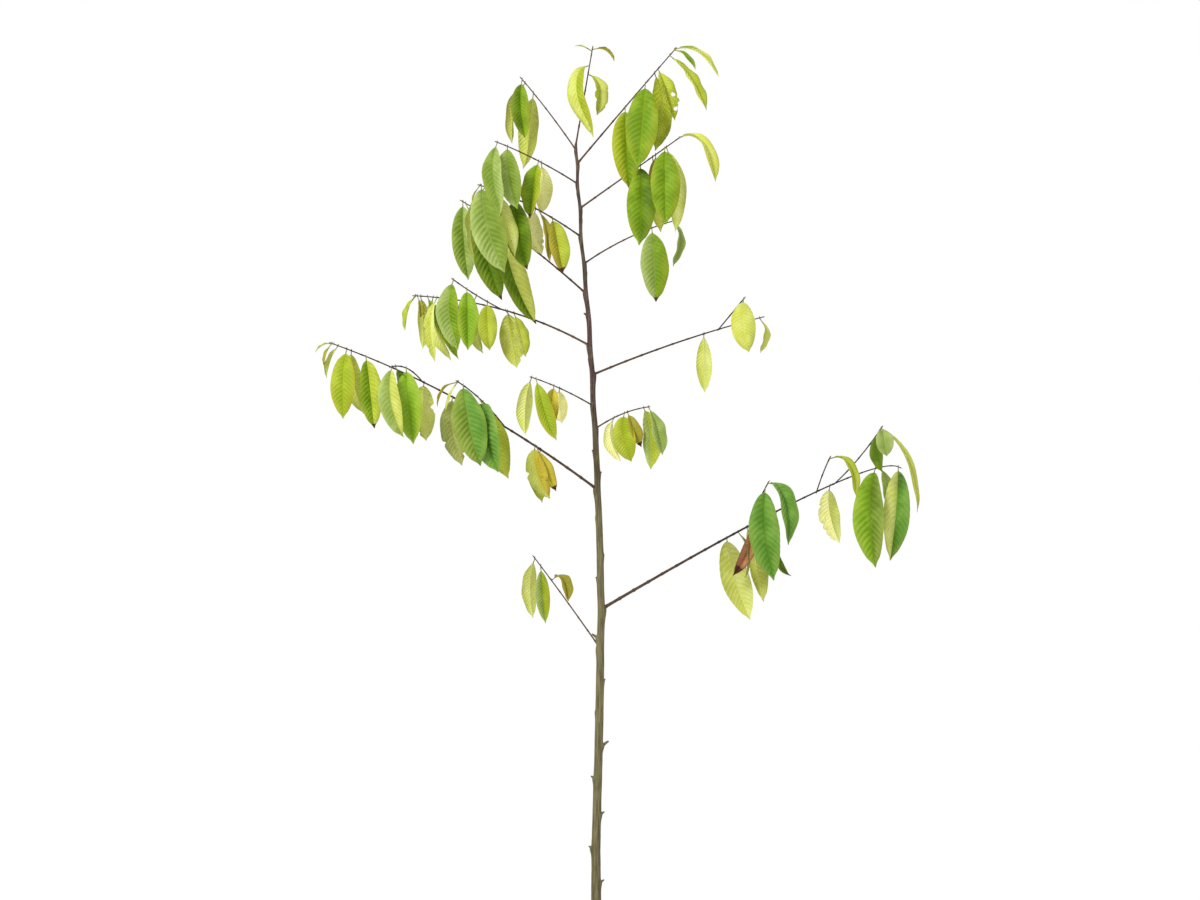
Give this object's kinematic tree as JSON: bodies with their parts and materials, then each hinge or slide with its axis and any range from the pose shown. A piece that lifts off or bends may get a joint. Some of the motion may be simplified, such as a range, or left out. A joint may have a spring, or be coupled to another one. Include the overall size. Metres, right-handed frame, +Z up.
{
  "type": "potted biriba tree",
  "caption": "Young biriba tree with a slender bare trunk, thin rising boughs and large drooping leaves, in a plain round nursery pot.",
  "frame": {"origin": "centre of the pot's flat underside, on the surface that it stands on", "axes": "+Z up the trunk, +X to the right and +Y away from the viewer as the tree is first seen"},
  "size_m": [1.2095, 0.6292, 2.1125],
  "materials": {
    "pot": "moulded, satin black",
    "potting_mix": "loose bark and peat, matte",
    "trunk_bark": "smooth olive-brown young bark",
    "shoot_bark": "fine red-brown young bark",
    "leaves": "thin leathery leaf, soft sheen"
  },
  "bodies": {
    "root": {"pot": "pot", "potting_mix": "potting_mix", "trunk": "trunk_bark", "bough_left_1": "shoot_bark", "bough_right_1": "shoot_bark", "bough_left_2": "shoot_bark", "bough_right_2": "shoot_bark", "bough_left_3": "shoot_bark", "bough_right_3": "shoot_bark", "bough_left_4": "shoot_bark", "bough_left_5": "shoot_bark", "bough_right_4": "shoot_bark", "bough_left_6": "shoot_bark", "bough_right_5": "shoot_bark", "bough_left_7": "shoot_bark", "bough_right_6": "shoot_bark", "bough_left_8": "shoot_bark", "leaves_left_1": "leaves", "leaves_right_1_inner": "leaves", "leaves_right_1_outer": "leaves", "leaves_left_2_inner": "leaves", "leaves_left_2_outer": "leaves", "leaves_right_2": "leaves", "leaves_left_3": "leaves", "leaves_right_3": "leaves", "leaves_left_4": "leaves", "leaves_left_5": "leaves", "leaves_right_4": "leaves", "leaves_left_6": "leaves", "leaves_right_5": "leaves", "leaves_left_7": "leaves", "leaves_right_6": "leaves", "leaves_left_8": "leaves", "leaves_leader": "leaves"}
  },
  "joints": []
}
